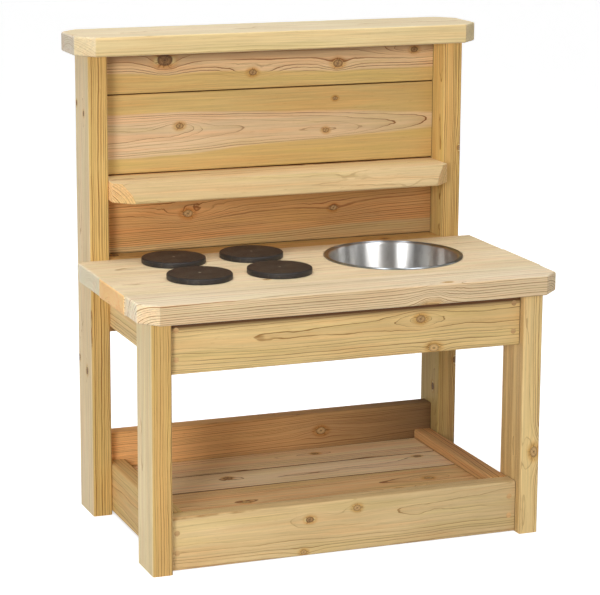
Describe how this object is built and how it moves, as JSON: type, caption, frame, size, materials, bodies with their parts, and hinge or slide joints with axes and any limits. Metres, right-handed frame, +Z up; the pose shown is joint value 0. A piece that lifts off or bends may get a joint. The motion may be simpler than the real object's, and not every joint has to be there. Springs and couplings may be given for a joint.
{
  "type": "mud kitchen",
  "caption": "Child's outdoor play kitchen in planed softwood, with a worktop holding hob discs and a lift-out steel bowl, a boarded back with shelf and cap, and a low slatted tray.",
  "frame": {"origin": "on the floor, under the centre of the whole piece", "axes": "+X to the right of someone facing the kitchen, +Y to its back, +Z up"},
  "size_m": [0.981, 0.636, 1.112],
  "materials": {
    "softwood_pale": "planed pale sapwood, untreated, satin",
    "softwood_golden": "planed golden softwood with straight dark grain",
    "softwood_tan": "planed tan softwood with brown rings and knots",
    "softwood_brown": "planed reddish heartwood",
    "softwood_heart": "planed dark heartwood",
    "plug_wood": "softwood plug, flush with the board",
    "disc_rubber": "moulded black rubber, satin, rough cut edge",
    "bowl_steel": "spun stainless steel with a rolled rim"
  },
  "bodies": {
    "kitchen": {"back_post_left": "softwood_pale", "back_post_right": "softwood_pale", "front_leg_left": "softwood_golden", "front_leg_right": "softwood_golden", "panel_board_1": "softwood_brown", "panel_board_2": "softwood_brown", "panel_board_3": "softwood_tan", "panel_board_4": "softwood_tan", "shelf": "softwood_pale", "cap": "softwood_pale", "worktop_board_front": "softwood_pale", "worktop_board_middle": "softwood_pale", "worktop_board_rear": "softwood_pale", "worktop_infill": "softwood_tan", "front_apron": "softwood_golden", "front_apron_plug_left_lower": "plug_wood", "front_apron_plug_left_upper": "plug_wood", "front_apron_plug_right_lower": "plug_wood", "front_apron_plug_right_upper": "plug_wood", "side_rail_left": "softwood_golden", "side_rail_right": "softwood_golden", "tray_front": "softwood_golden", "tray_front_plug_left_lower": "plug_wood", "tray_front_plug_left_upper": "plug_wood", "tray_front_plug_right_lower": "plug_wood", "tray_front_plug_right_upper": "plug_wood", "tray_back": "softwood_heart", "tray_side_left": "softwood_tan", "tray_side_right": "softwood_tan", "tray_cleat_left": "softwood_tan", "tray_cleat_right": "softwood_tan", "tray_slat_1": "softwood_tan", "tray_slat_2": "softwood_brown", "tray_slat_3": "softwood_tan", "hob_disc_front_left": "disc_rubber", "hob_disc_front_right": "disc_rubber", "hob_disc_rear_left": "disc_rubber", "hob_disc_rear_right": "disc_rubber"},
    "bowl": {"bowl": "bowl_steel"}
  },
  "joints": [
    {"name": "bowl_lift", "type": "slide", "parent": "kitchen", "child": "bowl", "axis": [0, 0, 1], "range_m": [0, 0.13]}
  ]
}
